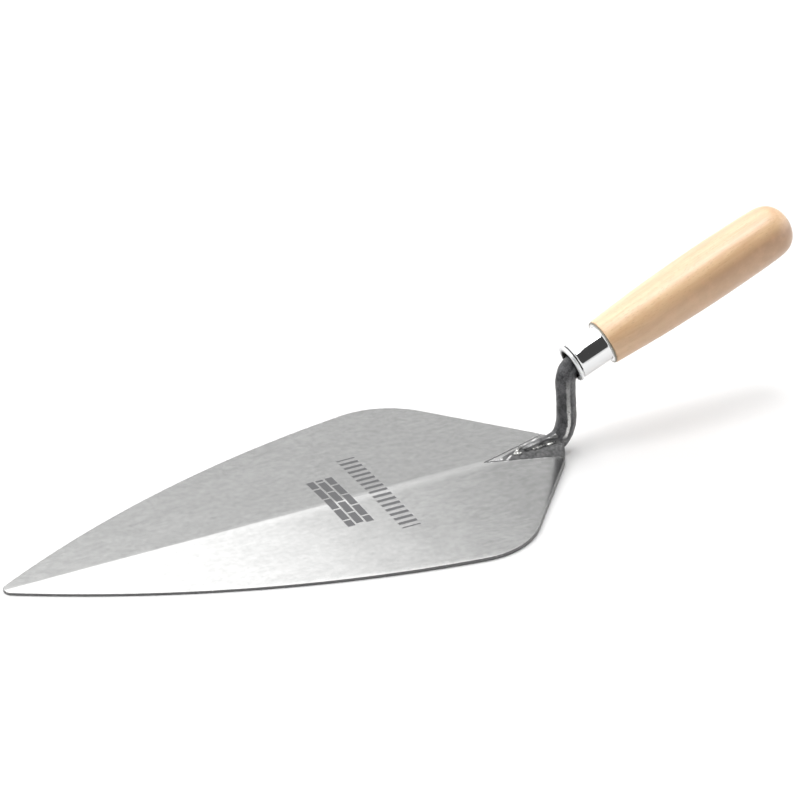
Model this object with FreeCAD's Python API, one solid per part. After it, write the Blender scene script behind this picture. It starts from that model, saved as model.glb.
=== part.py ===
"""Brick trowel, 11 inch London pattern, as separate pieces in millimetres.

+X runs from the tip of the blade to the end of the handle, +Y is across the blade and
+Z is up. Z = 0 is the flat underside of the blade, on which the trowel rests. Every
piece is modelled with X = 0 at the tip, and all of them move together at the end, so
that the origin is the middle of the bounding box at the bottom.
"""
import FreeCAD, Part
import math
import os

Vector = FreeCAD.Vector
ACROSS = Vector(0, 1, 0)
UP = Vector(0, 0, 1)
TIP = Vector(0, 0, 0)

# Blade outline, seen from above
blade_half_width = 69.0
widest_x = 207.1
nose_radius = 3.9
long_edge_radius = 565.0
shoulder_radius = 39.2
heel_edge_angle = 48.7
heel_radius = 21.5

# Blade thickness: two flat ground facets fall away from a straight ridge
tip_thickness = 1.2
ridge_rise = 3.0
ridge_length = 280.0
facet_fall = 0.0245
beyond_blade = 20.0
facet_reach = 90.0

# Bolster: the roof-shaped triangle at the heel that the grinding leaves standing.
# The draft is how far a side runs in for each millimetre it climbs.
bolster_start_x = 240.0
bolster_half_angle = 16.3
bolster_start_height = 0.1
bolster_end_height = 2.9
bolster_draft = 2.3
bolster_start_half_width = 0.3

# Handle line, through the middle of the ferrule's mouth
ferrule_mouth = Vector(281.9, 0, 44.7)
handle_angle = 23.55

# Tang: a round bar with a foot welded on the bolster and a spike inside the handle
bar_radius = 4.65
bar_start = Vector(276.4, 0, 4.2)
neck_foot = Vector(281.5, 0, 10.3)
neck_top = Vector(279.5, 0, 43.8)
lower_bend_radius = 15.0
upper_bend_radius = 9.0
bar_end = 7.0
spike_start = 5.0
spike_end = 74.0
spike_root_radius = 4.3
spike_tip_radius = 1.5
foot_toe = Vector(260.2, 0, 4.8)
foot_toe_radius = 1.7
foot_root = Vector(275.5, 0, 7.6)
foot_root_radius = 3.2

# Weld beads
side_bead_radius = 1.05
side_bead_route = [
    Vector(263.5, 2.1, 5.7),
    Vector(272.5, 2.8, 6.6),
]
toe_bead_radius = 1.1
toe_bead_route = [
    Vector(259.6, -2.4, 5.3),
    Vector(255.6, 0, 5.0),
    Vector(259.6, 2.4, 5.3),
]

# Ferrule, measured along the handle line from its mouth
ferrule_length = 18.8
ferrule_radius = 8.7
ferrule_wall = 0.7
mouth_bead_width = 1.7
mouth_bead_radius = 9.1
mouth_opening_radius = 6.5
mouth_round = 0.3
groove_depth = 0.25
groove_width = 0.5
flare_bend_radius = 0.5
flange_radius = 10.8

# Handle, measured along the handle line from the back of the ferrule
spigot_depth = 9.0
handle_length = 103.2
wood_shoulder_radius = 11.0
wood_shoulder_slope = 4.0
wood_swell = [
    # distance, radius
    (11.3, 11.7),
    (28.0, 12.6),
    (56.0, 13.25),
    (84.0, 12.95),
]
butt_corner_radius = 10.5
butt_corner_height = 1.9
butt_corner_slope = 8.0
butt_crown_radius = 40.0


def arc_about(center, start, end):
    """The shorter arc about center from start to end."""
    middle = (start - center) + (end - center)
    middle.normalize()
    radius = start.distanceToPoint(center)
    return Part.Arc(start, center + middle * radius, end).toShape()


def toward(start, end, distance):
    """The point at a distance from start on the line to end."""
    direction = end - start
    direction.normalize()
    return start + direction * distance


def blade_outline():
    """The outline as four tangent arcs and a straight heel edge, and their mirror image."""
    nose = Vector(nose_radius, 0, 0)
    shoulder = Vector(widest_x, blade_half_width - shoulder_radius, 0)

    # The long edge touches the nose and the shoulder from outside both.
    from_nose = long_edge_radius - nose_radius
    from_shoulder = long_edge_radius - shoulder_radius
    apart = shoulder.distanceToPoint(nose)
    along = (from_nose**2 - from_shoulder**2 + apart**2) / (2 * apart)
    aside = math.sqrt(from_nose**2 - along**2)
    line = toward(nose, shoulder, 1.0) - nose
    long_edge = nose + line * along + Vector(line.y, -line.x, 0) * aside

    nose_end = toward(long_edge, nose, long_edge_radius)
    shoulder_start = toward(long_edge, shoulder, long_edge_radius)
    turn = math.radians(heel_edge_angle)
    outward = Vector(math.sin(turn), math.cos(turn), 0)
    shoulder_end = shoulder + outward * shoulder_radius

    # The heel is round about a point on the middle line.
    reach = (shoulder_end.dot(outward) - heel_radius) / outward.x
    heel = Vector(reach, 0, 0)
    heel_start = heel + outward * heel_radius
    heel_point = heel + Vector(heel_radius, 0, 0)

    half = [
        arc_about(nose, TIP, nose_end),
        arc_about(long_edge, nose_end, shoulder_start),
        arc_about(shoulder, shoulder_start, shoulder_end),
        Part.LineSegment(shoulder_end, heel_start).toShape(),
        arc_about(heel, heel_start, heel_point),
    ]
    mirrored = [edge.mirror(TIP, ACROSS) for edge in half]
    return Part.Wire(Part.__sortEdges__(half + mirrored))


def ridge_height(x):
    """Height of the middle ridge above the underside."""
    return tip_thickness + ridge_rise * x / ridge_length


def section(x, points):
    """The corners of a section at x, from their (y, z) places."""
    return [Vector(x, y, z) for y, z in points]


def polyhedron(front, back):
    """The flat-sided solid between two sections with matching corners."""
    sides = [
        [front[i - 1], front[i], back[i], back[i - 1]]
        for i in range(len(front))
    ]
    faces = [
        Part.Face(Part.makePolygon(corners + corners[:1]))
        for corners in [front, back] + sides
    ]
    return Part.makeSolid(Part.makeShell(faces))


def facets():
    """The solid under the two ground facets."""
    ends = []
    for x in (-beyond_blade, ridge_length + beyond_blade):
        side = ridge_height(x) - facet_fall * facet_reach
        ends.append(section(x, [
            (-facet_reach, -beyond_blade),
            (-facet_reach, side),
            (0, ridge_height(x)),
            (facet_reach, side),
            (facet_reach, -beyond_blade),
        ]))
    return polyhedron(*ends)


def bolster():
    """A low roof over a triangle: a flat top that climbs to the heel, and sloping sides."""
    end_x = ridge_length + beyond_blade
    growth = (bolster_end_height - bolster_start_height) / (ridge_length - bolster_start_x)
    spread = math.tan(math.radians(bolster_half_angle))
    ends = []
    for x in (bolster_start_x, end_x):
        behind = x - bolster_start_x
        height = bolster_start_height + growth * behind
        foot = bolster_start_half_width + spread * behind
        step = height + facet_fall * foot
        top = foot - bolster_draft * step
        ends.append(section(x, [
            (-foot, 0),
            (-foot, ridge_height(x) - facet_fall * foot),
            (-top, ridge_height(x) + height),
            (top, ridge_height(x) + height),
            (foot, ridge_height(x) - facet_fall * foot),
            (foot, 0),
        ]))
    return polyhedron(*ends)


def make_blade():
    plan = Part.Face(blade_outline()).extrude(UP * beyond_blade)
    ground = plan.common(facets())
    raised = plan.common(bolster())
    return ground.fuse(raised).removeSplitter()


def handle_point(distance, radius=0.0):
    """A point in the side plane, along the handle line and above it."""
    turn = math.radians(handle_angle)
    line = Vector(math.cos(turn), 0, math.sin(turn))
    above = Vector(-math.sin(turn), 0, math.cos(turn))
    return ferrule_mouth + line * distance + above * radius


def bent_wire(corners, radii):
    """Straight runs through the corners, joined by tangent arcs."""
    edges = []
    start = corners[0]
    for before, corner, after, radius in zip(corners, corners[1:], corners[2:], radii):
        back = (before - corner).normalize()
        ahead = (after - corner).normalize()
        half_angle = back.getAngle(ahead) / 2
        arc_start = corner + back * (radius / math.tan(half_angle))
        arc_end = corner + ahead * (radius / math.tan(half_angle))
        center = corner + (back + ahead).normalize() * (radius / math.sin(half_angle))
        edges.append(Part.LineSegment(start, arc_start).toShape())
        edges.append(arc_about(center, arc_start, arc_end))
        start = arc_end
    edges.append(Part.LineSegment(start, corners[-1]).toShape())
    return Part.Wire(edges)


def make_tang(blade):
    route = bent_wire(
        [bar_start, neck_foot, neck_top, handle_point(bar_end)],
        [lower_bend_radius, upper_bend_radius],
    )
    circle = Part.Wire(Part.Circle(bar_start, neck_foot - bar_start, bar_radius).toShape())
    bar = route.makePipeShell([circle], True, True)
    line = handle_point(1.0) - handle_point(0.0)
    spike = Part.makeCone(
        spike_root_radius, spike_tip_radius, spike_end - spike_start,
        handle_point(spike_start), line
    )
    spike_point = Part.makeSphere(spike_tip_radius, handle_point(spike_end))
    foot_run = foot_root - foot_toe
    foot = Part.makeCone(foot_toe_radius, foot_root_radius, foot_run.Length, foot_toe, foot_run)
    toe = Part.makeSphere(foot_toe_radius, foot_toe)
    return bar.fuse([spike, spike_point, foot, toe]).cut(blade).removeSplitter()


def bead(points, radius):
    """A weld bead: a round run through the points, with round ends."""
    lumps = [Part.makeSphere(radius, point) for point in points]
    for start, end in zip(points, points[1:]):
        run = end - start
        lumps.append(Part.makeCylinder(radius, run.Length, start, run))
    return lumps[0].fuse(lumps[1:])


def turned(profile_edges):
    """A solid of revolution about the handle line, from a closed profile above it."""
    face = Part.Face(Part.Wire(profile_edges))
    line = handle_point(1.0) - handle_point(0.0)
    return face.revolve(ferrule_mouth, line, 360)


def straight_edges(points):
    return [Part.LineSegment(a, b).toShape() for a, b in zip(points, points[1:])]


def flare_bend():
    """The bend of the flare: its centre, and its inner start and end."""
    start = ferrule_length - ferrule_wall - flare_bend_radius
    center = handle_point(start, ferrule_radius + flare_bend_radius)
    inner_start = handle_point(start, ferrule_radius - ferrule_wall)
    inner_end = handle_point(ferrule_length, ferrule_radius + flare_bend_radius)
    return center, inner_start, inner_end


def make_ferrule():
    bore = ferrule_radius - ferrule_wall
    center, inner_start, inner_end = flare_bend()
    flange_front = ferrule_length - ferrule_wall
    outer_start = handle_point(flange_front - flare_bend_radius, ferrule_radius)
    outer_end = handle_point(flange_front, ferrule_radius + flare_bend_radius)
    bead_top = handle_point(mouth_bead_width / 2, mouth_bead_radius)
    bead_end = handle_point(mouth_bead_width, ferrule_radius - groove_depth)
    groove_end = handle_point(mouth_bead_width + groove_width, ferrule_radius)
    mouth_outer = handle_point(mouth_round, ferrule_radius)
    mouth_front = handle_point(0, (mouth_opening_radius + ferrule_radius) / 2)
    mouth_inner = handle_point(mouth_round, mouth_opening_radius)
    profile = [
        Part.Arc(mouth_inner, mouth_front, mouth_outer).toShape(),
        Part.Arc(mouth_outer, bead_top, bead_end).toShape(),
        Part.LineSegment(bead_end, groove_end).toShape(),
        Part.LineSegment(groove_end, outer_start).toShape(),
        arc_about(center, outer_start, outer_end),
    ]
    profile += straight_edges([
        outer_end,
        handle_point(flange_front, flange_radius),
        handle_point(ferrule_length, flange_radius),
        inner_end,
    ])
    profile.append(arc_about(center, inner_end, inner_start))
    profile += straight_edges([
        inner_start,
        handle_point(mouth_bead_width, bore),
        handle_point(mouth_bead_width, mouth_opening_radius),
        mouth_inner,
    ])
    return turned(profile)


def wood_point(distance, radius=0.0):
    return handle_point(ferrule_length + distance, radius)


def wood_slope(degrees):
    """A direction along the handle line that rises away from it by this angle."""
    turn = math.radians(degrees)
    return wood_point(math.cos(turn), math.sin(turn)) - wood_point(0)


def make_handle(tang):
    bore = ferrule_radius - ferrule_wall
    bend_center, bend_start, bend_end = flare_bend()
    shoulder = wood_point(0, wood_shoulder_radius)
    butt = wood_point(handle_length)
    crown_center = wood_point(handle_length - butt_crown_radius)
    corner_reach = math.sqrt(
        (butt_crown_radius - butt_corner_radius)**2 - butt_corner_height**2
    )
    corner_center = wood_point(
        handle_length - butt_crown_radius + corner_reach, butt_corner_height
    )
    side_end = corner_center + wood_slope(90 - butt_corner_slope) * butt_corner_radius
    crown_edge = toward(crown_center, corner_center, butt_crown_radius)

    swell = Part.BSplineCurve()
    swell.interpolate(
        Points=[shoulder] + [wood_point(*place) for place in wood_swell] + [side_end],
        InitialTangent=wood_slope(wood_shoulder_slope),
        FinalTangent=wood_slope(-butt_corner_slope),
    )
    profile = straight_edges([
        wood_point(-spigot_depth),
        wood_point(-spigot_depth, bore),
        bend_start,
    ])
    profile += [
        arc_about(bend_center, bend_start, bend_end),
        Part.LineSegment(bend_end, shoulder).toShape(),
        swell.toShape(),
        arc_about(corner_center, side_end, crown_edge),
        arc_about(crown_center, crown_edge, butt),
        Part.LineSegment(butt, wood_point(-spigot_depth)).toShape(),
    ]
    return turned(profile).cut(tang)


def make_pieces():
    blade = make_blade()
    tang = make_tang(blade)
    far_bead = bead(side_bead_route, side_bead_radius).cut(blade).cut(tang)
    toe_bead = bead(toe_bead_route, toe_bead_radius).cut(blade).cut(tang).cut(far_bead)
    near_bead = far_bead.mirror(TIP, ACROSS)
    toe_bead = toe_bead.cut(near_bead)
    return {
        "blade": blade,
        "tang": tang,
        "weld_left": far_bead,
        "weld_right": near_bead,
        "weld_toe": toe_bead,
        "ferrule": make_ferrule(),
        "handle": make_handle(tang),
    }


pieces = make_pieces()
whole = Part.makeCompound(list(pieces.values())).optimalBoundingBox(False)
to_origin = Vector(-(whole.XMin + whole.XMax) / 2, 0, -whole.ZMin)
os.makedirs("parts", exist_ok=True)
for name, shape in pieces.items():
    shape.translate(to_origin)
    shape.exportStep(f"parts/{name}.step")
    print(name, len(shape.Solids), shape.isValid(), round(shape.Volume, 1))
print("box", round(whole.XLength, 2), round(whole.YLength, 2), round(whole.ZLength, 2))
print("moved by", to_origin)
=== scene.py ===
"""Looks of the brick trowel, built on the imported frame, in metres.

Lengths in the named values are millimetres. Along X they count from the blade's tip, which
stands at the low X side of the blade's box. Z = 0 is the underside of the blade.
"""

import math

import bmesh
import bpy
from mathutils import Matrix, Vector, noise


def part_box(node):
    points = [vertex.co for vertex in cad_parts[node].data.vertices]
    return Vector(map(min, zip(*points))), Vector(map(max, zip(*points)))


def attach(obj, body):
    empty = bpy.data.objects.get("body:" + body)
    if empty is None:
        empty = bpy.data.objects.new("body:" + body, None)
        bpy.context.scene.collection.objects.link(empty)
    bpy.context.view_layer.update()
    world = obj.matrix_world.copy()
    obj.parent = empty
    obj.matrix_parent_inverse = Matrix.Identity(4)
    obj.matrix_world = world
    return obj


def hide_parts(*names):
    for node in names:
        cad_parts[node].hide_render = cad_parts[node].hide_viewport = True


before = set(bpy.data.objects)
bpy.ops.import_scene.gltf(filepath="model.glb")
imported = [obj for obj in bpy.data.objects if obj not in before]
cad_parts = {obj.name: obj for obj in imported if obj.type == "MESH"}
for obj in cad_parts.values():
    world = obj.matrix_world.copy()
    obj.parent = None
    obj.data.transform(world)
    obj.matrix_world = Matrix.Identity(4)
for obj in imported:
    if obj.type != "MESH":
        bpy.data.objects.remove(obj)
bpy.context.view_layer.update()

MM = 0.001
TIP_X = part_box("blade")[0][0]

# View
VIEW_AZIMUTH = 29.45
VIEW_ELEVATION = 30.26
VIEW_ROLL = 2.0
VIEW_DISTANCE = 2.2292
AIM = Vector((-0.003592, 0.0, 0.048155))
LENS_MM = 225.0
SENSOR_MM = 36.0

# Blade outline, the same as the frame's blade
NOSE = Vector((3.9, 0.0))
NOSE_RADIUS = 3.9
LONG_EDGE_RADIUS = 565.0
SHOULDER = Vector((207.1, 29.8))
SHOULDER_RADIUS = 39.2
HEEL_EDGE_ANGLE = 48.7
HEEL_RADIUS = 21.5

# Blade thickness
TIP_THICKNESS = 1.2
RIDGE_RISE = 3.0
RIDGE_LENGTH = 280.0
FACET_FALL = 0.0245
RIDGE_ROUND = 0.35
RIDGE_BOW = 0.35
# how far each edge loop stands in from the outline, and how far below the facet
EDGE_ROUNDING = [(0.0, 0.30), (0.03, 0.16), (0.10, 0.06), (0.22, 0.01), (0.5, 0.0)]

# share of black scale left on the rounded edge, and on the flat underside
EDGE_SCALE = 0.62
UNDER_SCALE = 0.2

# Bolster
BOLSTER_APEX = 239.0
BOLSTER_SPREAD = math.tan(math.radians(16.3))
ROOF_HEIGHT = 3.3
ROOF_START = 252.0
# the burr the grinder raised along the far side, and the groove outside it
FAR_BURR = 0.42
BURR_GROOVE_DEPTH = 0.10
# bright nicks across the bolster's edge: two ends of each
NICK_LIFT = 0.22
NICK_WIDTH = 0.45
NICKS = [((249.6, -2.6), (252.8, -0.4)), ((255.4, 0.6), (260.4, 4.6))]

# Handle line and ferrule
MOUTH = Vector((281.9, 0.0, 44.7))
HANDLE_ANGLE = 23.55
FERRULE_LENGTH = 18.8
FERRULE_RADIUS = 8.7
FERRULE_WALL = 0.7
FLANGE_RADIUS = 10.8
HANDLE_LENGTH = 103.2


def place(x, y, z):
    """A point given in millimetres from the tip, in the frame's metres."""
    return Vector((TIP_X + x * MM, y * MM, z * MM))


def smooth_step(value):
    value = min(max(value, 0.0), 1.0)
    return value * value * (3.0 - 2.0 * value)


def wobble(x, y, z, size):
    """Smooth noise between about -1 and 1, with features of this size in millimetres."""
    return noise.noise(Vector((x, y, z)) / size)


def add_mesh(name, points, faces, masks=None):
    """A smooth-shaded mesh object. masks maps an attribute's name to a value per point."""
    mesh = bpy.data.meshes.new(name)
    mesh.from_pydata(points, [], faces)
    for mask_name, values in (masks or {}).items():
        layer = mesh.attributes.new(mask_name, "FLOAT", "POINT")
        layer.data.foreach_set("value", values)
    work = bmesh.new()
    work.from_mesh(mesh)
    bmesh.ops.remove_doubles(work, verts=work.verts, dist=2e-6)
    bmesh.ops.dissolve_degenerate(work, edges=work.edges, dist=1e-6)
    bmesh.ops.recalc_face_normals(work, faces=work.faces)
    for face in work.faces:
        face.smooth = True
    work.to_mesh(mesh)
    work.free()
    thing = bpy.data.objects.new(name, mesh)
    bpy.context.scene.collection.objects.link(thing)
    return thing


def stands_for(piece, slot, material, *nodes):
    """Hands a finished piece to the frame, in place of its CAD nodes."""
    piece.data.materials.clear()
    piece.data.materials.append(material)
    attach(piece, "root")
    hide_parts(*nodes)


# ---- camera

def make_camera():
    turn = math.radians(VIEW_AZIMUTH)
    rise = math.radians(VIEW_ELEVATION)
    ahead = Vector((
        math.sin(turn) * math.cos(rise),
        math.cos(turn) * math.cos(rise),
        -math.sin(rise),
    ))
    level = Vector((math.cos(turn), -math.sin(turn), 0.0))
    right = Matrix.Rotation(-math.radians(VIEW_ROLL), 3, ahead) @ level
    up = right.cross(ahead)
    data = bpy.data.cameras.new("view")
    data.lens = LENS_MM
    data.sensor_width = SENSOR_MM
    data.clip_end = 60.0
    camera = bpy.data.objects.new("view", data)
    bpy.context.scene.collection.objects.link(camera)
    axes = Matrix((right, up, -ahead)).transposed()
    camera.matrix_world = Matrix.Translation(AIM - ahead * VIEW_DISTANCE) @ axes.to_4x4()
    bpy.context.scene.camera = camera


make_camera()


# ---- blade

HEEL_TURN = Vector((
    math.sin(math.radians(HEEL_EDGE_ANGLE)),
    math.cos(math.radians(HEEL_EDGE_ANGLE)),
))
HEEL_EDGE_REACH = SHOULDER.dot(HEEL_TURN) + SHOULDER_RADIUS
HEEL = Vector(((HEEL_EDGE_REACH - HEEL_RADIUS) / HEEL_TURN.x, 0.0))
BLADE_END = HEEL.x + HEEL_RADIUS


def long_edge_center():
    """The long edge's arc touches the nose and the shoulder from outside both."""
    from_nose = LONG_EDGE_RADIUS - NOSE_RADIUS
    from_shoulder = LONG_EDGE_RADIUS - SHOULDER_RADIUS
    span = SHOULDER - NOSE
    along = (from_nose**2 - from_shoulder**2 + span.length**2) / (2 * span.length)
    aside = math.sqrt(from_nose**2 - along**2)
    line = span.normalized()
    return NOSE + line * along + Vector((line.y, -line.x)) * aside


LONG_EDGE = long_edge_center()
NOSE_TURN = (NOSE - LONG_EDGE).normalized()
SHOULDER_TURN = (SHOULDER - LONG_EDGE).normalized()


def arc_half_width(x, center, radius):
    return center.y + math.sqrt(max(radius**2 - (x - center.x)**2, 0.0))


def half_width(x, inset):
    """Half the blade's width at x, with the outline moved in by inset."""
    if x < NOSE.x + NOSE_TURN.x * (NOSE_RADIUS - inset):
        return arc_half_width(x, NOSE, NOSE_RADIUS - inset)
    if x < SHOULDER.x + SHOULDER_TURN.x * (SHOULDER_RADIUS - inset):
        return arc_half_width(x, LONG_EDGE, LONG_EDGE_RADIUS - inset)
    if x < SHOULDER.x + HEEL_TURN.x * (SHOULDER_RADIUS - inset):
        return arc_half_width(x, SHOULDER, SHOULDER_RADIUS - inset)
    if x < HEEL.x + HEEL_TURN.x * (HEEL_RADIUS - inset):
        return (HEEL_EDGE_REACH - inset - x * HEEL_TURN.x) / HEEL_TURN.y
    return arc_half_width(x, HEEL, HEEL_RADIUS - inset)


def bolster_half_width(x):
    return max((x - BOLSTER_APEX) * BOLSTER_SPREAD, 0.0)


def facet_height(x, y):
    """The two ground facets, with a softly rounded ridge that bows up a little."""
    away = math.sqrt(y * y + RIDGE_ROUND**2) - RIDGE_ROUND
    across = min(abs(y) / max(half_width(x, 0.0), 1.0), 1.0)
    bow = RIDGE_BOW * math.sin(math.pi * min(x / RIDGE_LENGTH, 1.0)) * (1.0 - across)
    uneven = 0.02 * wobble(x, y * 1.6, 3.0, 26.0)
    return TIP_THICKNESS + RIDGE_RISE * x / RIDGE_LENGTH - FACET_FALL * away + bow + uneven


def hump(value, center, width):
    return math.exp(-((value - center) / width)**2)


def bolster_lift(x, y):
    """How far the bolster stands above the facets, how much of it is unground scale, and the
    painted shade in the groove along its far side.
    """
    if x <= BOLSTER_APEX:
        return 0.0, 0.0
    half = bolster_half_width(x)
    edge = half - abs(y)
    far = y > 0
    fade = smooth_step((x - BOLSTER_APEX) / 5.0)
    climb = min(max(edge, 0.0) / (0.6 * half), 1.0)
    climb = 0.5 * climb + 0.5 * smooth_step(climb)
    behind = max(x - ROOF_START, 0.0) / (BLADE_END - ROOF_START)
    lift = ROOF_HEIGHT * behind * climb * (1.0 - 0.7 * smooth_step(y / 6.0))
    ripple = 1.0 + 0.8 * wobble(x, 4.0, 1.0, 4.0)
    if far:
        lift += FAR_BURR * ripple * hump(edge, 1.3, 0.6) * smooth_step((x - 259.0) / 5.0)
        scale_and_groove_shade = smooth_step((edge - 1.9) / 0.5)
        # painted shade: the groove just outside the far burr gets the black scale colour for its
        # shadow
        scale_and_groove_shade = max(scale_and_groove_shade, hump(edge, 0.1, 0.65))
    else:
        dressed = smooth_step((-y - 1.0) / 1.5) * smooth_step((x - 260.0) / 5.0)
        scale_and_groove_shade = smooth_step((edge + 0.4) / 0.3) * (1.0 - 0.12 * dressed)
    lift -= (BURR_GROOVE_DEPTH if far else 0.0) * hump(edge, -0.3, 0.28) * fade
    patchy = smooth_step((x - 246.0 + 3.0 * wobble(x, y, 5.0, 2.5)) / 7.0)
    if edge > 0.6:
        scale_and_groove_shade *= 0.45 + 0.55 * patchy
    rough = 0.09 * wobble(x, y, 9.0, 1.3) + 0.08 * wobble(x, y, 2.0, 3.5)
    lift += rough * scale_and_groove_shade * fade
    for start, end in NICKS:
        nick = math.exp(-(away_from(x, y, start, end) / NICK_WIDTH)**2)
        lift += NICK_LIFT * nick
        scale_and_groove_shade *= 1.0 - nick
    return lift, scale_and_groove_shade


def away_from(x, y, start, end):
    """The distance of a place from a short line."""
    line = Vector(end) - Vector(start)
    spot = Vector((x, y)) - Vector(start)
    share = min(max(spot.dot(line) / line.length_squared, 0.0), 1.0)
    return (spot - line * share).length


def blade_stations():
    """Places along the blade from 0 at the tip to 1 at the heel, closest where it curves."""
    places = [NOSE_RADIUS * (1 - math.cos(math.radians(turn))) for turn in range(0, 84, 7)]
    x = places[-1] + 0.8
    while x < BOLSTER_APEX - 3:
        places.append(x)
        x += 1.6
    heel_start = BLADE_END - HEEL_RADIUS * (1 - math.cos(math.radians(48)))
    while x < heel_start:
        places.append(x)
        x += 0.5
    places += [
        BLADE_END - HEEL_RADIUS * (1 - math.cos(math.radians(turn)))
        for turn in range(46, -1, -2)
    ]
    return [place_x / BLADE_END for place_x in places]


def blade_row(share):
    """One row across half of the top, from the wall to the middle: x, y, drop."""
    row = []
    for inset, drop in EDGE_ROUNDING:
        x = inset + (BLADE_END - 2 * inset) * share
        row.append((x, half_width(x, inset), drop))
    x, outer, _ = row[-1]
    edge = min(bolster_half_width(x), outer)
    facet_end = min(edge + 1.2, outer)
    for step in range(1, 24):
        row.append((x, outer + (facet_end - outer) * step / 23, 0.0))
    for beside in (1.1, 0.8, 0.6, 0.45, 0.3, 0.15, 0.0, -0.2, -0.4, -0.55, -0.7, -0.85, -1.0, -1.3):
        row.append((x, min(max(edge + beside, 0.0), outer), 0.0))
    inner = max(edge - 1.3, 0.0)
    for step in range(1, 21):
        row.append((x, inner * (1 - step / 20), 0.0))
    return row


def make_blade():
    points = []
    scale_and_groove_shade = []
    rows = []
    for share in blade_stations():
        half = blade_row(share)
        across = [(x, -y, drop) for x, y, drop in half] + [
            (x, y, drop) for x, y, drop in half[-2::-1]
        ]
        top = []
        for x, y, drop in across:
            lift, scale = bolster_lift(x, y)
            top.append(len(points))
            points.append(place(x, y, facet_height(x, y) + lift - drop))
            scale_and_groove_shade.append(EDGE_SCALE if drop > 0.005 else scale)
        under = []
        for inset in (0.0, 0.1, 0.3):
            x = inset + (BLADE_END - 2 * inset) * share
            z = 0.3 * (1 - math.sqrt(1 - (1 - inset / 0.3)**2))
            for side in (-1, 1):
                under.append((x, side * half_width(x, inset), z))
        wall = [under[0], under[2], under[4]]
        span = half_width(under[4][0], 0.3)
        wall += [(under[4][0], span * (step / 6 - 1), 0.0) for step in range(1, 12)]
        wall += [under[5], under[3], under[1]]
        bottom = []
        for x, y, z in wall:
            bottom.append(len(points))
            points.append(place(x, y, z))
            scale_and_groove_shade.append(EDGE_SCALE if z > 0.01 else UNDER_SCALE)
        rows.append(top + bottom[::-1])
    faces = []
    for row, following in zip(rows, rows[1:]):
        for here in range(len(row)):
            faces.append((row[here - 1], row[here], following[here], following[here - 1]))
    return add_mesh("blade_ground", points, faces, {"scale_and_groove_shade": scale_and_groove_shade})


# ---- handle line

def handle_axes():
    turn = math.radians(HANDLE_ANGLE)
    return (
        Vector((math.cos(turn), 0.0, math.sin(turn))),
        Vector((-math.sin(turn), 0.0, math.cos(turn))),
        Vector((0.0, 1.0, 0.0)),
    )


ALONG, ABOVE, BESIDE = handle_axes()


def handle_point(distance, radius=0.0, turn=0.0):
    """A point at a distance along the handle line, out from it by radius."""
    spot = MOUTH + ALONG * distance
    spot = spot + (ABOVE * math.cos(turn) + BESIDE * math.sin(turn)) * radius
    return place(*spot)


def turned(name, profile, sides, closed, shape=None, masks=None):
    """A turned piece from (distance, radius) places; shape may alter a radius.
    masks maps an attribute's name to a function of distance, radius and turn."""
    points = []
    for distance, radius in profile:
        for side in range(sides):
            turn = 2 * math.pi * side / sides
            out = radius + shape(distance, turn) if shape and radius > 0.5 else radius
            points.append(handle_point(distance, out, turn))
    faces = []
    for ring in range(len(profile) - (0 if closed else 1)):
        here = ring * sides
        following = (ring + 1) % len(profile) * sides
        for side in range(sides):
            other = (side + 1) % sides
            faces.append((here + side, here + other, following + other, following + side))
    values = {
        mask: [
            value(*spot, 2 * math.pi * side / sides) for spot in profile for side in range(sides)
        ]
        for mask, value in (masks or {}).items()
    }
    return add_mesh(name, points, faces, values)


def arc(center, radius, start, end, steps):
    """Places on an arc about (distance, radius) center, with angles in degrees."""
    turns = [math.radians(start + (end - start) * step / steps) for step in range(steps + 1)]
    return [
        (center[0] + radius * math.cos(turn), center[1] + radius * math.sin(turn))
        for turn in turns
    ]


def run(start, end, steps):
    """Places along a straight run, without its two ends."""
    return [
        tuple(a + (b - a) * step / steps for a, b in zip(start, end))
        for step in range(1, steps)
    ]


# ---- ferrule: lip, rolled bead, groove, barrel, flare and flange

BEAD_CENTER = (0.95, 8.3)
BEAD_RADIUS = 0.85
LIP_RADIUS = 6.5
CRIMP_TURN = math.radians(-20.0)
CRIMP_PLACE = 4.6
CRIMP_DEPTH = 0.24
GROOVE = (2.05, 8.25)
BEND_RADIUS = 0.5


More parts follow.
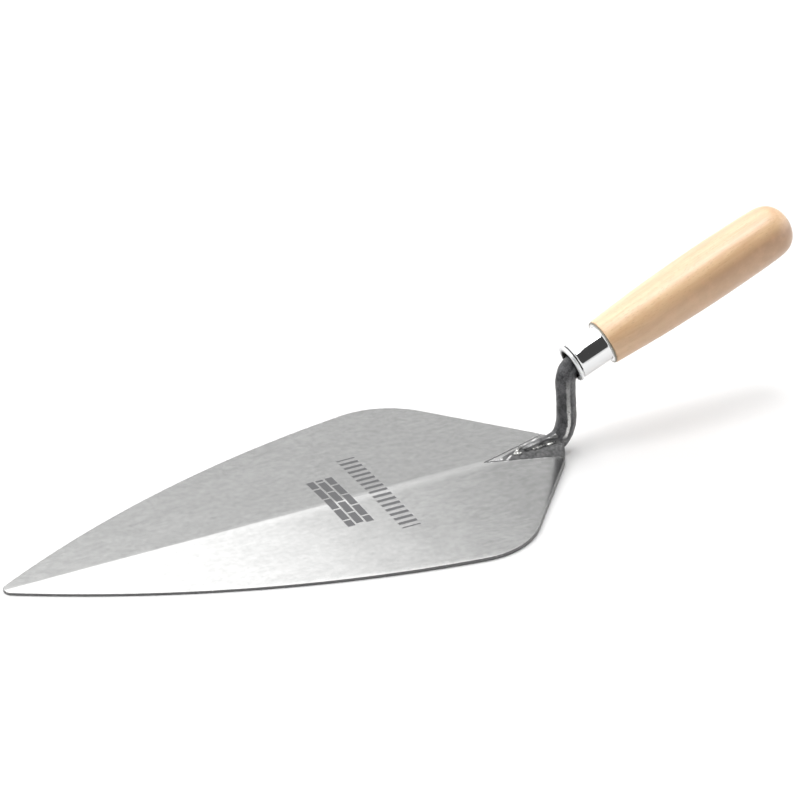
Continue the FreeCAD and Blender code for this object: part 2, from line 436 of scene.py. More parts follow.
def make_ferrule():
    bore = FERRULE_RADIUS - FERRULE_WALL
    flange_front = FERRULE_LENGTH - FERRULE_WALL
    bend = (flange_front - BEND_RADIUS, FERRULE_RADIUS + BEND_RADIUS)
    profile = [(1.6, LIP_RADIUS), (0.45, LIP_RADIUS), (0.18, LIP_RADIUS + 0.2)]
    profile += arc(BEAD_CENTER, BEAD_RADIUS, 200, 30, 14)
    profile += arc((GROOVE[0], GROOVE[1] + 0.2), 0.32, 190, 350, 8)
    profile += [(GROOVE[0] + 0.42, FERRULE_RADIUS - 0.05)]
    profile += run((2.7, FERRULE_RADIUS), (bend[0], FERRULE_RADIUS), 26)
    profile += arc(bend, BEND_RADIUS, -90, 0, 8)
    rim = (flange_front + FERRULE_WALL / 2, FLANGE_RADIUS - FERRULE_WALL / 2)
    profile += arc(rim, FERRULE_WALL / 2, 180, 0, 8)
    profile += arc(bend, BEND_RADIUS + FERRULE_WALL, 0, -90, 8)
    profile += run((bend[0], bore), (1.9, bore), 8)
    profile += [(1.8, bore), (1.72, LIP_RADIUS + 0.1)]

    def unplated_and_rim_shade(distance, radius, turn):
        """The bore and the flange's cut rim carry no plate, and the rim's dull colour is also
        painted shade where the flange meets the wood.
        """
        hidden = radius < bore + 0.1 and distance > 1.5
        rim = radius > FLANGE_RADIUS - 0.45 or distance > flange_front + 0.4
        return 1.0 if hidden or rim else 0.0

    def painted_lip_and_groove_shade(distance, radius, turn):
        """Painted shade inside the lip, and in the groove behind the bead except underneath."""
        lip = radius < 7.5 and distance < 1.0
        groove = abs(distance - GROOVE[0]) < 0.3 and radius < FERRULE_RADIUS - 0.06
        below = smooth_step((-math.cos(turn) + 0.1) / 0.3)
        return 1.0 if lip else (1.0 - below if groove else 0.0)

    def rubbed(distance, radius, turn):
        """The rolled bead is duller than the barrel."""
        return 1.0 if distance < GROOVE[0] - 0.35 and radius > 7.5 else 0.0

    def crimped(distance, turn):
        """A shallow dent where the ferrule was crimped, up and toward the near side."""
        if distance > FERRULE_LENGTH - 3.0 or distance < 2.4:
            return 0.0
        aside = (turn - CRIMP_TURN + math.pi) % (2 * math.pi) - math.pi
        along = math.exp(-((distance - CRIMP_PLACE) / 3.4)**2)
        return -CRIMP_DEPTH * along * math.exp(-(aside * FERRULE_RADIUS / 2.6)**2)

    masks = {"unplated_and_rim_shade": unplated_and_rim_shade, "painted_lip_and_groove_shade": painted_lip_and_groove_shade, "rubbed": rubbed}
    return turned("ferrule_chromed", profile, 160, True, crimped, masks)


# ---- handle: a turned grip with a full round butt

WOOD_SHOULDER = 11.0
WOOD_SWELL = [(0.0, 11.0), (11.3, 11.7), (28.0, 12.6), (56.0, 13.25), (84.0, 12.95)]
SPIGOT_DEPTH = 9.0
BUTT_CORNER_RADIUS = 10.5
BUTT_CORNER_HEIGHT = 1.9
BUTT_CORNER_SLOPE = 8.0
BUTT_CROWN_RADIUS = 40.0


def swell_radius(distance):
    """A smooth curve through the swell's places (Catmull-Rom)."""
    places = WOOD_SWELL + [(HANDLE_LENGTH - 7.5, 12.25)]
    index = 0
    while index < len(places) - 2 and distance > places[index + 1][0]:
        index += 1
    (x0, r0), (x1, r1) = places[index], places[index + 1]
    before = places[index - 1] if index else (x0 - 10, r0 - 0.7)
    after = places[index + 2] if index + 2 < len(places) else (x1 + 10, r1 - 1.6)
    slope0 = (r1 - before[1]) / (x1 - before[0])
    slope1 = (after[1] - r0) / (after[0] - x0)
    span = x1 - x0
    t = (distance - x0) / span
    return (
        (2 * t**3 - 3 * t**2 + 1) * r0 + (t**3 - 2 * t**2 + t) * span * slope0
        + (-2 * t**3 + 3 * t**2) * r1 + (t**3 - t**2) * span * slope1
    )


def make_handle():
    start = FERRULE_LENGTH
    end = start + HANDLE_LENGTH
    bore = FERRULE_RADIUS - FERRULE_WALL
    reach = math.sqrt((BUTT_CROWN_RADIUS - BUTT_CORNER_RADIUS)**2 - BUTT_CORNER_HEIGHT**2)
    corner = (end - BUTT_CROWN_RADIUS + reach, BUTT_CORNER_HEIGHT)
    crown = (end - BUTT_CROWN_RADIUS, 0.0)
    crown_turn = math.degrees(math.asin(
        BUTT_CORNER_HEIGHT / (BUTT_CROWN_RADIUS - BUTT_CORNER_RADIUS)))
    profile = [(start - SPIGOT_DEPTH, 0.0), (start - SPIGOT_DEPTH, bore - 0.6)]
    profile += [(start - SPIGOT_DEPTH + 0.6, bore - 0.02)]
    profile += run((start - SPIGOT_DEPTH + 0.6, bore - 0.02), (start - 2.4, bore - 0.02), 5)
    profile += [(start - 1.2, bore + 0.3), (start - 0.02, bore + 1.9)]
    profile += run((start - 0.02, bore + 2.0), (start + 0.02, WOOD_SHOULDER - 0.5), 3)
    profile += arc((start + 0.5, WOOD_SHOULDER - 0.48), 0.5, 180, 97, 6)
    side_turn = 90 - BUTT_CORNER_SLOPE
    last = corner[0] + BUTT_CORNER_RADIUS * math.cos(math.radians(side_turn))
    distance = 1.5
    while start + distance < last - 1.0:
        profile.append((start + distance, swell_radius(distance)))
        distance += 1.5
    profile += arc(corner, BUTT_CORNER_RADIUS, side_turn, crown_turn, 22)
    profile += arc(crown, BUTT_CROWN_RADIUS, crown_turn * 0.75, 0, 4)

    def worn(distance, turn):
        """Turning and sanding leave the grip a hair out of round."""
        if distance < start + 0.3:
            return 0.0
        return 0.05 * wobble(distance * 0.5, 9 * math.cos(turn), 9 * math.sin(turn), 9.0)

    return turned("handle_beech", profile, 112, False, worn)


# ---- tang: one forged bar, from the foot on the bolster to the spike in the grip

def spine():
    """The bar's middle line as (x, z, radius), from the toe of the foot to the spike's end."""
    spike = [
        ((MOUTH + ALONG * distance).x, (MOUTH + ALONG * distance).z, radius)
        for distance, radius in ((6.0, 4.5), (12.0, 4.3), (30.0, 3.6), (52.0, 2.7), (72.0, 1.6))
    ]
    return [
        (275.8, 4.4, 4.3),
        (278.1, 6.4, 4.55),
        (280.2, 9.6, 4.65),
        (281.3, 13.5, 4.65),
        (281.5, 18.0, 4.6),
        (281.1, 24.0, 4.5),
        (280.5, 30.0, 4.5),
        (280.1, 35.0, 4.6),
        (280.3, 39.5, 4.7),
        (281.9, 43.2, 4.7),
    ] + spike


def smooth_line(knots, spacing):
    """Places along a smooth curve through the knots, about spacing apart."""
    knots = [Vector(knot) for knot in knots]
    ends = [knots[0] * 2 - knots[1]] + knots + [knots[-1] * 2 - knots[-2]]
    line = []
    for a, b, c, d in zip(ends, ends[1:], ends[2:], ends[3:]):
        steps = max(int((c - b).length / spacing), 1)
        for step in range(steps):
            t = step / steps
            line.append(0.5 * (
                2 * b + (c - a) * t + (2 * a - 5 * b + 4 * c - d) * t**2
                + (3 * b - a - 3 * c + d) * t**3
            ))
    return line + [knots[-1]]


def swept(line, sides, section):
    """Rings of points around a line of (x, z, radius); section gives a radius factor."""
    rings = []
    for index, spot in enumerate(line):
        before = line[max(index - 1, 0)]
        after = line[min(index + 1, len(line) - 1)]
        forward = Vector((after.x - before.x, 0.0, after.y - before.y)).normalized()
        back = Vector((forward.z, 0.0, -forward.x))
        ring = []
        for side in range(sides):
            turn = 2 * math.pi * side / sides
            out = spot.z * section(index / (len(line) - 1), turn)
            center = Vector((spot.x, 0.0, spot.y))
            ring.append(center + back * (out * math.cos(turn)) + BESIDE * (out * math.sin(turn)))
        rings.append(ring)
    return rings


SECTION_TWIST = math.radians(-12.0)
SECTION_SQUARE = 0.045


def squarish(share, turn):
    """A round-cornered square section, a little twisted, as hammering leaves it."""
    corner = math.cos(4 * (turn - SECTION_TWIST))
    return 1.0 + SECTION_SQUARE * corner


def tube(rings):
    """Points and faces of a closed tube through the rings."""
    sides = len(rings[0])
    points = [point for ring in rings for point in ring]
    faces = []
    for ring in range(len(rings) - 1):
        for side in range(sides):
            other = (side + 1) % sides
            faces.append((
                ring * sides + side, ring * sides + other,
                (ring + 1) * sides + other, (ring + 1) * sides + side,
            ))
    faces.append(tuple(range(sides))[::-1])
    last = (len(rings) - 1) * sides
    faces.append(tuple(range(last, last + sides)))
    return points, faces


def ball(center, radii, rows=10):
    """Points and faces of an ellipsoid."""
    rings = []
    for row in range(1, rows):
        lift = math.pi * row / rows
        ring = []
        for side in range(rows * 2):
            turn = math.pi * side / rows
            ring.append(Vector((
                center[0] + radii[0] * math.sin(lift) * math.cos(turn),
                center[1] + radii[1] * math.sin(lift) * math.sin(turn),
                center[2] + radii[2] * math.cos(lift),
            )))
        rings.append(ring)
    return tube(rings)


def melted(name, lumps, voxel, rounds, roughen=None):
    """One closed skin over overlapping lumps, given in millimetres, smoothed where they meet."""
    points = []
    faces = []
    for lump_points, lump_faces in lumps:
        faces += [tuple(corner + len(points) for corner in face) for face in lump_faces]
        points += [place(*point) for point in lump_points]
    mesh = bpy.data.meshes.new(name + "_lumps")
    mesh.from_pydata(points, [], faces)
    source = bpy.data.objects.new(name + "_lumps", mesh)
    bpy.context.scene.collection.objects.link(source)
    skin = source.modifiers.new("skin", "REMESH")
    skin.mode = "VOXEL"
    skin.voxel_size = voxel * MM
    calm = source.modifiers.new("calm", "SMOOTH")
    calm.factor = 0.5
    calm.iterations = rounds
    evaluated = source.evaluated_get(bpy.context.evaluated_depsgraph_get())
    result = bpy.data.meshes.new_from_object(evaluated)
    bpy.data.objects.remove(source)
    if roughen:
        offsets = []
        for vertex in result.vertices:
            spot = vertex.co / MM
            offsets.append(vertex.normal * roughen(spot.x - TIP_X / MM, spot.y, spot.z) * MM)
        for vertex, offset in zip(result.vertices, offsets):
            vertex.co += offset
    for face in result.polygons:
        face.use_smooth = True
    result.name = name
    thing = bpy.data.objects.new(name, result)
    bpy.context.scene.collection.objects.link(thing)
    return thing


# the way the bar faces where bare metal is painted on as a highlight strip, and how wide that strip
# is
PAINTED_HIGHLIGHT_FACING = Vector((-0.29, -0.957))
PAINTED_HIGHLIGHT_WIDTH = 19.0


def make_tang():
    bar = smooth_line(spine(), 0.8)
    foot = smooth_line([
        (259.8, 5.1, 1.1),
        (262.5, 5.6, 1.6),
        (267.0, 6.4, 2.0),
        (272.0, 7.2, 2.4),
        (277.5, 8.4, 3.1),
    ], 0.8)
    lumps = [
        tube(swept(bar, 40, squarish)),
        tube(swept(foot, 28, lambda share, turn: 1.0)),
    ]

    def hammered(x, y, z):
        depth = 0.10 * wobble(x, y, z, 4.5) + 0.05 * wobble(x, y, z, 1.4)
        return depth * (1.0 if z < 46 else 0.2)

    tang = melted("tang_forged", lumps, 0.32, 5, hammered)
    painted_highlight_layer = tang.data.attributes.new("scuff_and_painted_highlight", "FLOAT", "POINT")
    painted_highlight_layer.data.foreach_set("value", [scuff_and_painted_highlight(vertex) for vertex in tang.data.vertices])
    return tang


def scuff_and_painted_highlight(vertex):
    """How far the scale is lightened to bare metal: a painted highlight strip down the neck where
    it faces front and a little left, and a little painted light on the foot.
    """
    height = vertex.co.z / MM
    # painted light: the foot, below 9 mm, is lightened a little
    if height < 9.0 and vertex.normal.z > -0.2:
        mottle = 1.0 + 1.5 * wobble(vertex.co.x / MM, vertex.co.y / MM, height, 1.6)
        return 0.22 * mottle * smooth_step((9.0 - height) / 2.0)
    # painted highlight: a strip down the neck on the faces turned front and a little left
    flat = Vector((vertex.normal.x, vertex.normal.y))
    if flat.length < 0.3:
        return 0.0
    aside = abs(math.degrees(flat.angle(PAINTED_HIGHLIGHT_FACING)))
    climb = smooth_step((height - 14.0) / 16.0)
    wide = PAINTED_HIGHLIGHT_WIDTH * (0.9 + 0.3 * climb)
    ragged = 2.5 * wobble(vertex.co.x / MM, vertex.co.y / MM, height, 2.5)
    run_out = smooth_step((height - 8.0) / 3.0) * smooth_step((41.0 - height) / 8.0)
    return smooth_step((wide - aside + ragged) / 7.0) * run_out * (1.0 - 0.6 * climb)


# ---- weld beads beside the foot and at its toe

def bead_lumps(route, radius):
    """Overlapping ripples along a route of (x, y, z), as a welder leaves them."""
    line = [Vector(point) for point in route]
    lumps = []
    for start, end in zip(line, line[1:]):
        steps = max(int((end - start).length / 0.9), 1)
        for step in range(steps):
            spot = start.lerp(end, step / steps)
            swell = 1.0 + 0.18 * wobble(spot.x, spot.y, spot.z, 1.1)
            size = radius * swell
            lumps.append(ball(spot, (size * 0.95, size * 1.1, size * 0.85)))
    return lumps


def make_welds():
    side_route = [(264.0, 1.8, 5.7), (268.5, 2.1, 6.3), (271.0, 2.4, 6.6), (275.0, 3.0, 7.2)]
    toe_route = [(257.4, -1.4, 4.7), (255.2, -0.3, 4.5), (257.6, 1.9, 4.7), (260.6, 4.2, 4.6)]

    def rippled(x, y, z):
        return 0.06 * wobble(x, y, z, 0.7)

    routes = {
        "weld_left": (side_route, 0.85),
        "weld_right": ([(x, -y, z) for x, y, z in side_route], 0.85),
        "weld_toe": (toe_route, 0.85),
    }
    beads = {}
    for node, (route, radius) in routes.items():
        beads[node] = melted("bead_" + node[5:], bead_lumps(route, radius), 0.16, 3, rippled)
    return beads


# ---- materials

class Shader:
    """A Principled material under construction, with short ways to add and join nodes."""

    def __init__(self, name):
        self.material = bpy.data.materials.new(name)
        self.material.use_nodes = True
        self.tree = self.material.node_tree
        self.surface = self.tree.nodes["Principled BSDF"]
        self.place = self.add("ShaderNodeTexCoord").outputs["Object"]

    def add(self, kind, **settings):
        node = self.tree.nodes.new(kind)
        for name, value in settings.items():
            setattr(node, name, value)
        return node

    def feed(self, socket, value):
        """Joins a socket to another node's output, or sets it to a plain value."""
        if isinstance(value, bpy.types.NodeSocket):
            self.tree.links.new(value, socket)
        else:
            socket.default_value = value

    def math(self, operation, *values, clamp=False):
        node = self.add("ShaderNodeMath", operation=operation, use_clamp=clamp)
        for socket, value in zip(node.inputs, values):
            self.feed(socket, value)
        return node.outputs[0]

    def scaled(self, scale, turn=(0.0, 0.0, 0.0), shift=(0.0, 0.0, 0.0)):
        """The object's coordinates turned, moved and scaled, in that order."""
        turned_node = self.add("ShaderNodeMapping", vector_type="POINT")
        self.feed(turned_node.inputs["Vector"], self.place)
        turned_node.inputs["Location"].default_value = shift
        turned_node.inputs["Rotation"].default_value = turn
        scaled_node = self.add("ShaderNodeMapping", vector_type="POINT")
        self.feed(scaled_node.inputs["Vector"], turned_node.outputs[0])
        scaled_node.inputs["Scale"].default_value = scale
        return scaled_node.outputs[0]

    def noise(self, where, size, detail=3.0, roughness=0.5, distortion=0.0):
        """Noise with features of this many units of where."""
        node = self.add("ShaderNodeTexNoise")
        self.feed(node.inputs["Vector"], where)
        node.inputs["Scale"].default_value = 1.0 / size
        node.inputs["Detail"].default_value = detail
        node.inputs["Roughness"].default_value = roughness
        node.inputs["Distortion"].default_value = distortion
        return node.outputs["Fac"]

    def cells(self, where, size):
        node = self.add("ShaderNodeTexVoronoi", feature="F1")
        self.feed(node.inputs["Vector"], where)
        node.inputs["Scale"].default_value = 1.0 / size
        return node

    def fit(self, value, low, high, to_low=0.0, to_high=1.0, smooth=False):
        """Maps low..high onto to_low..to_high, held at both ends."""
        node = self.add("ShaderNodeMapRange")
        node.interpolation_type = "SMOOTHSTEP" if smooth else "LINEAR"
        for socket, number in zip(node.inputs, (value, low, high, to_low, to_high)):
            self.feed(socket, number)
        return node.outputs[0]

    def blend(self, share, first, second, kind="MIX"):
        """A colour between first and second."""
        node = self.add("ShaderNodeMix", data_type="RGBA", blend_type=kind)
        self.feed(node.inputs["Factor"], share)
        self.feed(node.inputs[6], color(first))
        self.feed(node.inputs[7], color(second))
        return node.outputs[2]

    def bump(self, height, depth, base=None):
        """Relief of this depth in metres for a height of 1."""
        node = self.add("ShaderNodeBump")
        self.feed(node.inputs["Height"], height)
        node.inputs["Distance"].default_value = depth
        if base:
            self.feed(node.inputs["Normal"], base)
        return node.outputs[0]

    def toward(self, direction, start):
        """The distance of the surface from start, measured along a direction."""
        node = self.add("ShaderNodeVectorMath", operation="DOT_PRODUCT")
        self.feed(node.inputs[0], self.place)
        node.inputs[1].default_value = direction
        return self.math("SUBTRACT", node.outputs["Value"], direction.dot(start))

    def mask(self, name):
        return self.add("ShaderNodeAttribute", attribute_name=name).outputs["Fac"]

    def set(self, **sockets):
        """Feeds the surface's sockets, named with underscores for spaces."""
        for name, value in sockets.items():
            self.feed(self.surface.inputs[name.replace("_", " ")], color(value))
        return self.material


def color(value):
    """Adds the alpha that colour sockets want."""
    return (*value, 1.0) if isinstance(value, tuple) and len(value) == 3 else value


def inside(shader, value, center, half, soft):
    """1 where value is within half of center, with soft edges."""
    away = shader.math("ABSOLUTE", shader.math("SUBTRACT", value, center))
    return shader.fit(away, half - soft, half + soft, 1.0, 0.0)


MARK_X = 165.0
MARK_HALF_X = 7.0
MARK_HALF_Y = 20.5
RULE_X = 184.5
RULE_HALF_X = 4.7
RULE_HALF_Y = 32.0
RULE_STEP = 4.0


def etched_pattern(shader):
    """A generic mark: a few courses of brickwork, and beside them a row of plain ticks."""
    split = shader.add("ShaderNodeSeparateXYZ")
    shader.feed(split.inputs[0], shader.place)
    x = shader.math("DIVIDE", shader.math("SUBTRACT", split.outputs["X"], TIP_X), MM)
    y = shader.math("DIVIDE", split.outputs["Y"], MM)
    flat = shader.add("ShaderNodeCombineXYZ")
    shader.feed(flat.inputs["X"], shader.math("ADD", y, 500.0))
    shader.feed(flat.inputs["Y"], shader.math("SUBTRACT", x, MARK_X - MARK_HALF_X))
    bricks = shader.add("ShaderNodeTexBrick")
    shader.feed(bricks.inputs["Vector"], flat.outputs[0])
    settings = {
        "Color1": (1, 1, 1, 1), "Color2": (1, 1, 1, 1), "Mortar": (0, 0, 0, 1), "Scale": 1.0,
        "Mortar Size": 0.55, "Mortar Smooth": 0.3, "Brick Width": 9.6, "Row Height": 4.67,
    }
    for name, value in settings.items():
        bricks.inputs[name].default_value = value
    window = shader.math(
        "MULTIPLY",
        inside(shader, x, MARK_X, MARK_HALF_X - 0.3, 0.2),
        inside(shader, y, 0.0, MARK_HALF_Y, 0.2),
    )
    brickwork = shader.math("MULTIPLY", window, bricks.outputs["Color"])
    step = shader.math("PINGPONG", y, RULE_STEP / 2)
    tick = shader.fit(step, 0.85, 1.15, 1.0, 0.0)
    rule_window = shader.math(
        "MULTIPLY",
        inside(shader, x, RULE_X, RULE_HALF_X, 0.2),
        inside(shader, y, 0.0, RULE_HALF_Y, 0.2),
    )
    rule = shader.math("MULTIPLY", rule_window, tick)
    on_top = shader.fit(split.outputs["Z"], 0.5 * MM, 1.0 * MM)
    return shader.math("MULTIPLY", on_top, shader.math("MAXIMUM", brickwork, rule))


def ground_steel():
    """Satin ground steel, with black scale where the grinder did not reach, painted shade in the
    groove along the bolster's far side, and a painted highlight along the ridge.
    """
    s = Shader("ground_steel")
    scratches = s.noise(s.scaled((90, 4200, 900), turn=(0, 0, math.radians(-4))), 1.0, 2.0)
    crossing = s.noise(s.scaled((60, 2400, 900), turn=(0, 0, math.radians(9))), 1.0, 2.0)
    streaks = s.noise(s.scaled((170, 340, 300)), 1.0, 3.0, 0.6)
    mottle = s.noise(s.place, 2.6 * MM, 2.0, 0.6)
    clouds = s.noise(s.place, 22 * MM, 2.0)
    grain = s.math("ADD", s.math("MULTIPLY", scratches, 0.6), s.math("MULTIPLY", crossing, 0.4))
    tone = s.math("ADD", s.math("MULTIPLY", mottle, 0.5), s.math("MULTIPLY", streaks, 0.5))
    steel = s.blend(s.fit(tone, 0.3, 0.7), (0.555, 0.557, 0.552), (0.685, 0.685, 0.68))
    pits = s.cells(s.place, 5.5 * MM).outputs["Distance"]
    steel = s.blend(s.fit(pits, 0.02, 0.06, 0.5, 0.0), steel, (0.30, 0.29, 0.28))

    # painted highlight: the steel is lightened along the ridge, mostly on its near side and toward
    # the heel, for the light the rounded ridge catches
    across = s.toward(BESIDE, Vector((0.0, 0.0, 0.0)))
    worn = s.math("MULTIPLY", s.fit(across, 0.6 * MM, 2.2 * MM, 1.0, 0.0), s.fit(
        across, -6.5 * MM, -0.5 * MM, smooth=True))
    behind = s.toward(Vector((1.0, 0.0, 0.0)), Vector((TIP_X, 0.0, 0.0)))
    worn = s.math("MULTIPLY", worn, s.fit(behind, 100 * MM, 190 * MM, 0.1, 0.8))
    height = s.toward(Vector((0.0, 0.0, 1.0)), Vector((0.0, 0.0, 0.0)))
    worn = s.math("MULTIPLY", worn, s.fit(height, 0.5 * MM, 1.0 * MM))
    steel = s.blend(worn, steel, (0.86, 0.86, 0.855))

    scale_cells = s.noise(s.place, 1.4 * MM, 4.0, 0.75)
    black = s.blend(s.fit(scale_cells, 0.35, 0.7), (0.02, 0.02, 0.021), (0.135, 0.135, 0.137))
    mark = etched_pattern(s)
    raw_and_shaded = s.mask("scale_and_groove_shade")
    black = s.blend(s.fit(raw_and_shaded, 0.75, 0.95, 0.35, 0.0), black, (0.22, 0.22, 0.22))
    patchy = s.fit(s.math("ADD", raw_and_shaded, s.math("MULTIPLY", s.math(
        "SUBTRACT", scale_cells, 0.5), 0.5)), 0.4, 0.6)
    steel = s.blend(s.math("MULTIPLY", mark, 0.92), steel, (0.12, 0.12, 0.125))
    base = s.blend(patchy, steel, black)

    rough = s.fit(grain, 0.3, 0.7, 0.12, 0.18)
    rough = s.math("ADD", rough, s.fit(clouds, 0.3, 0.7, -0.008, 0.008))
    rough = s.math("ADD", rough, s.math("MULTIPLY", mark, 0.25))
    rough = s.math("ADD", rough, s.math("MULTIPLY", patchy, 0.22))
    relief = s.bump(grain, 0.0012 * MM)
    relief = s.bump(s.math("MULTIPLY", mark, -1.0), 0.02 * MM, relief)
    relief = s.bump(s.math("MULTIPLY", scale_cells, patchy), 0.16 * MM, relief)
    return s.set(
        Base_Color=base, Roughness=rough, Normal=relief,
        Metallic=s.fit(patchy, 0.0, 1.0, 1.0, 0.3),
    )


def forged_steel():
    """Black forging scale, with a painted highlight of bare metal down the neck's front and a
    little painted light on the foot.
    """
    s = Shader("forged_steel")
    blotch = s.noise(s.place, 4.0 * MM, 4.0, 0.6)
    fine = s.noise(s.place, 0.7 * MM, 4.0, 0.6)
    tone = s.math("ADD", s.math("MULTIPLY", blotch, 0.6), s.math("MULTIPLY", fine, 0.4))
    base = s.blend(s.fit(tone, 0.40, 0.62), (0.018, 0.018, 0.020), (0.115, 0.115, 0.12))
    # painted highlight: bare metal where the mask marks the neck's front strip and the foot
    bare_and_highlight = s.math("MULTIPLY", s.mask("scuff_and_painted_highlight"), s.fit(fine, 0.3, 0.45, 0.7, 1.0))
    base = s.blend(bare_and_highlight, base, (0.56, 0.56, 0.55))
    relief = s.bump(s.math("ADD", blotch, s.math("MULTIPLY", fine, 0.35)), 0.18 * MM)
    rough = s.fit(fine, 0.3, 0.7, 0.28, 0.42)
    return s.set(
        Base_Color=base, Metallic=s.fit(bare_and_highlight, 0.0, 1.0, 0.2, 1.0), Normal=relief,
        Roughness=s.math("SUBTRACT", rough, s.math("MULTIPLY", bare_and_highlight, 0.08)),
    )


def weld_metal():
    """Weld beads: bright ripples with soot and glassy slag in between."""
    s = Shader("weld_metal")
    patches = s.noise(s.place, 2.2 * MM, 3.0, 0.6)
    fine = s.noise(s.place, 0.5 * MM, 3.0, 0.6)
    base = s.blend(s.fit(patches, 0.42, 0.6), (0.07, 0.07, 0.07), (0.62, 0.62, 0.60))
    relief = s.bump(fine, 0.12 * MM)
    return s.set(
        Base_Color=base, Normal=relief, Metallic=s.fit(patches, 0.42, 0.6, 0.3, 1.0),
        Roughness=s.fit(fine, 0.3, 0.7, 0.22, 0.40),
    )


def ferrule_chrome():
    """Chrome plate, with fine polishing lines and a few faint rubs."""
    s = Shader("ferrule_chrome")
    haze = s.noise(s.place, 5.0 * MM, 3.0, 0.6)
    lines = s.noise(s.scaled((9000, 700, 9000)), 1.0, 2.0)
    base = s.blend(haze, (0.72, 0.725, 0.73), (0.80, 0.80, 0.80))
    raw_and_shaded = s.mask("unplated_and_rim_shade")
    # the bore and the flange's rim are dull and unplated; on the rim this beige-grey is also
    # painted shade where the flange meets the wood
    base = s.blend(raw_and_shaded, base, (0.24, 0.215, 0.17))
    # painted shade: near-black inside the lip and in the groove behind the bead
    lip_and_groove_shade = s.mask("painted_lip_and_groove_shade")
    base = s.blend(lip_and_groove_shade, base, (0.03, 0.029, 0.027))
    relief = s.bump(lines, 0.0004 * MM)
    rough = s.fit(haze, 0.3, 0.75, 0.045, 0.11)
    return s.set(
        Base_Color=base, Metallic=s.fit(s.math("MAXIMUM", raw_and_shaded, lip_and_groove_shade), 0.0, 1.0, 1.0, 0.3),
        Normal=relief, Roughness=s.math("ADD", rough, s.math(
            "MULTIPLY", s.math("MAXIMUM", s.math("MAXIMUM", raw_and_shaded, lip_and_groove_shade), s.mask("rubbed")), 0.4)),
    )


def handle_wood():
    """Beech along the grip: soft growth rings, short dark ray flecks, clear lacquer, and painted
    shade that darkens its lower front side toward the butt.
    """
    s = Shader("handle_wood")
    turn = (0.0, math.radians(HANDLE_ANGLE), 0.0)
    rings = s.noise(s.scaled((7, 62, 62), turn=turn), 1.0, 2.0, 0.5)
    fibres = s.noise(s.scaled((60, 1500, 1500), turn=turn), 1.0, 3.0, 0.6)
    band = s.noise(s.scaled((18, 260, 260), turn=turn), 1.0, 3.0, 0.55, 0.4)
    flecks = s.cells(s.scaled((330, 1500, 1500), turn=turn), 1.0).outputs["Distance"]
    fleck = s.fit(flecks, 0.12, 0.3, 1.0, 0.0)
    base = s.blend(s.fit(rings, 0.3, 0.7), (0.735, 0.47, 0.252), (0.835, 0.585, 0.34))
    base = s.blend(s.fit(band, 0.38, 0.66, 0.0, 0.8), base, (0.60, 0.355, 0.175))
    base = s.blend(s.fit(fibres, 0.35, 0.75, 0.0, 0.30), base, (0.86, 0.65, 0.43))
    base = s.blend(s.math("MULTIPLY", fleck, 0.45), base, (0.47, 0.27, 0.14))
    # painted shade: darker toward the lower front side of the grip, and more so toward the butt
    low = s.toward(-ABOVE * 0.8 - BESIDE * 0.6, place(*MOUTH))
    out = s.toward(ALONG, place(*MOUTH))
    painted_underside_shade = s.math(
        "MULTIPLY",
        s.fit(low, -4 * MM, 5 * MM, smooth=True),
        s.fit(out, 30 * MM, 110 * MM, 0.65, 1.25),
    )
    painted_underside_shade = s.math("MULTIPLY", painted_underside_shade, s.fit(rings, 0.3, 0.7, 1.0, 0.75))
    base = s.blend(painted_underside_shade, base, (0.35, 0.18, 0.076))
    cloud = s.noise(s.place, 5.0 * MM, 3.0, 0.6)
    base = s.blend(s.fit(cloud, 0.45, 0.75, 0.0, 0.35), base, (0.64, 0.36, 0.20))
    relief = s.bump(s.math("ADD", fibres, s.math("MULTIPLY", band, 0.8)), 0.012 * MM)
    return s.set(
        Base_Color=base, Normal=relief, Roughness=s.fit(fibres, 0.3, 0.7, 0.38, 0.5),
        Coat_Weight=0.9, Coat_Roughness=0.4, Coat_IOR=1.7,
    )


def floor_paper():
    s = Shader("floor_paper")
    tooth = s.noise(s.place, 1.5 * MM, 3.0)
    base = s.blend(tooth, (0.79, 0.79, 0.79), (0.81, 0.81, 0.81))
    return s.set(Base_Color=base, Roughness=0.9, Specular_IOR_Level=0.0)


# ---- light: a wide panel overhead and behind with a bright middle, and the pale room around

# Directions are places on a ceiling of height 1 over the trowel: x to the right, y behind.
PANEL_X = (-0.9, 0.676)
PANEL_Y = (-0.06, 1.488)
PANEL_LIGHT = 1.26
CORE_CENTER = (-0.12, -0.05)
CORE_RADIUS = 0.16
CORE_LIGHT = 14.0
ROOM_BACK = 0.67
RIGHT_X = (0.70, 1.2)
RIGHT_Y = (-0.6, 1.40)
RIGHT_SHADE = -0.24
ROOM_FRONT = 0.07
BACK_LEFT_LIGHT = 0.9
LEFT_WALL_LIGHT = 0.8
RIGHT_WALL_LIGHT = 1.6
HORIZON_LIGHT = 0.9


def span(shader, value, ends, soft):
    """1 between two ends, with soft edges."""
    return inside(shader, value, (ends[0] + ends[1]) / 2, (ends[1] - ends[0]) / 2, soft)


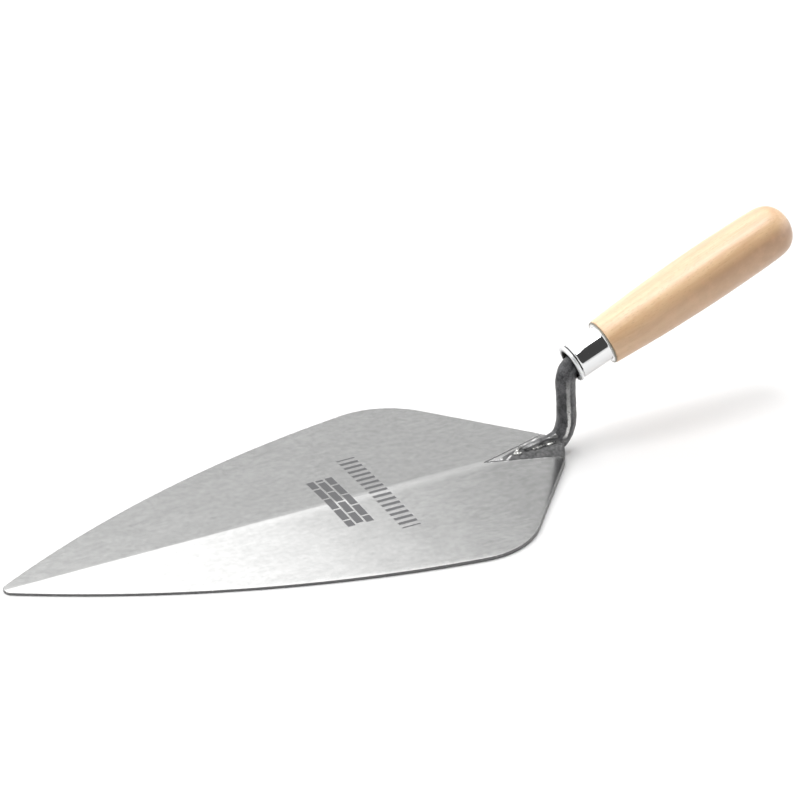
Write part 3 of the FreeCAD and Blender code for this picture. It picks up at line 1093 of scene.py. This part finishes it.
def make_light():
    world = bpy.data.worlds.new("studio")
    world.use_nodes = True
    bpy.context.scene.world = world
    s = Shader.__new__(Shader)
    s.tree = world.node_tree
    background = s.tree.nodes["Background"]
    split = s.add("ShaderNodeSeparateXYZ")
    s.feed(split.inputs[0], s.add("ShaderNodeTexCoord").outputs["Generated"])
    x, y, z = split.outputs
    up = s.math("MAXIMUM", z, 0.02)
    right = s.math("DIVIDE", x, up)
    back = s.math("DIVIDE", y, up)
    above = s.fit(z, 0.03, 0.06)
    panel = s.math("MULTIPLY", span(s, right, PANEL_X, 0.02), span(s, back, PANEL_Y, 0.02))
    panel = s.math("MULTIPLY", panel, above)
    away_x = s.math("SUBTRACT", right, CORE_CENTER[0])
    away_y = s.math("SUBTRACT", back, CORE_CENTER[1])
    away = s.math("SQRT", s.math(
        "ADD", s.math("MULTIPLY", away_x, away_x), s.math("MULTIPLY", away_y, away_y)))
    right_side = s.math("MULTIPLY", span(s, right, RIGHT_X, 0.03), span(s, back, RIGHT_Y, 0.06))
    core = s.math("MULTIPLY", s.fit(away, CORE_RADIUS - 0.03, CORE_RADIUS + 0.03, 1.0, 0.0), above)
    room = s.fit(y, -0.30, 0.15, ROOM_FRONT, ROOM_BACK, smooth=True)
    sideways = s.math("DIVIDE", x, s.math("MAXIMUM", y, 0.05))
    back_left = s.math(
        "MULTIPLY", s.fit(sideways, 0.16, 0.42, 1.0, 0.0, smooth=True), s.fit(y, 0.2, 0.5))
    left_wall = s.math("MULTIPLY", s.fit(x, -0.75, -0.55, 1.0, 0.0), above)
    front_right = s.math("SUBTRACT", x, s.math("MULTIPLY", y, 0.5))
    right_wall = s.math("MULTIPLY", s.fit(front_right, 0.76, 0.86), above)
    horizon = s.fit(z, 0.09, 0.14, HORIZON_LIGHT, 0.0)
    light = s.math("MAXIMUM", room, horizon)
    for part, strength in (
        (panel, PANEL_LIGHT), (core, CORE_LIGHT), (right_side, RIGHT_SHADE),
        (back_left, BACK_LEFT_LIGHT), (left_wall, LEFT_WALL_LIGHT),
        (right_wall, RIGHT_WALL_LIGHT),
    ):
        light = s.math("ADD", light, s.math("MULTIPLY", part, strength))
    s.feed(background.inputs["Color"], (1.0, 1.0, 1.0, 1.0))
    s.feed(background.inputs["Strength"], light)
    bpy.context.scene.view_settings.view_transform = "Standard"
    bpy.context.scene.view_settings.look = "None"


def make_floor():
    reach = 14.0
    corners = [(-reach, -reach), (reach, -reach), (reach, reach), (-reach, reach)]
    floor = add_mesh("floor", [(x, y, -0.12 * MM) for x, y in corners], [(0, 1, 2, 3)])
    floor.data.materials.append(floor_paper())


# ---- put together

make_light()
make_floor()
weld_material = weld_metal()
stands_for(make_blade(), "ground_steel", ground_steel(), "blade")
stands_for(make_tang(), "forged_steel", forged_steel(), "tang")
for node, bead in make_welds().items():
    stands_for(bead, "weld_metal", weld_material, node)
stands_for(make_ferrule(), "ferrule_chrome", ferrule_chrome(), "ferrule")
stands_for(make_handle(), "handle_wood", handle_wood(), "handle")
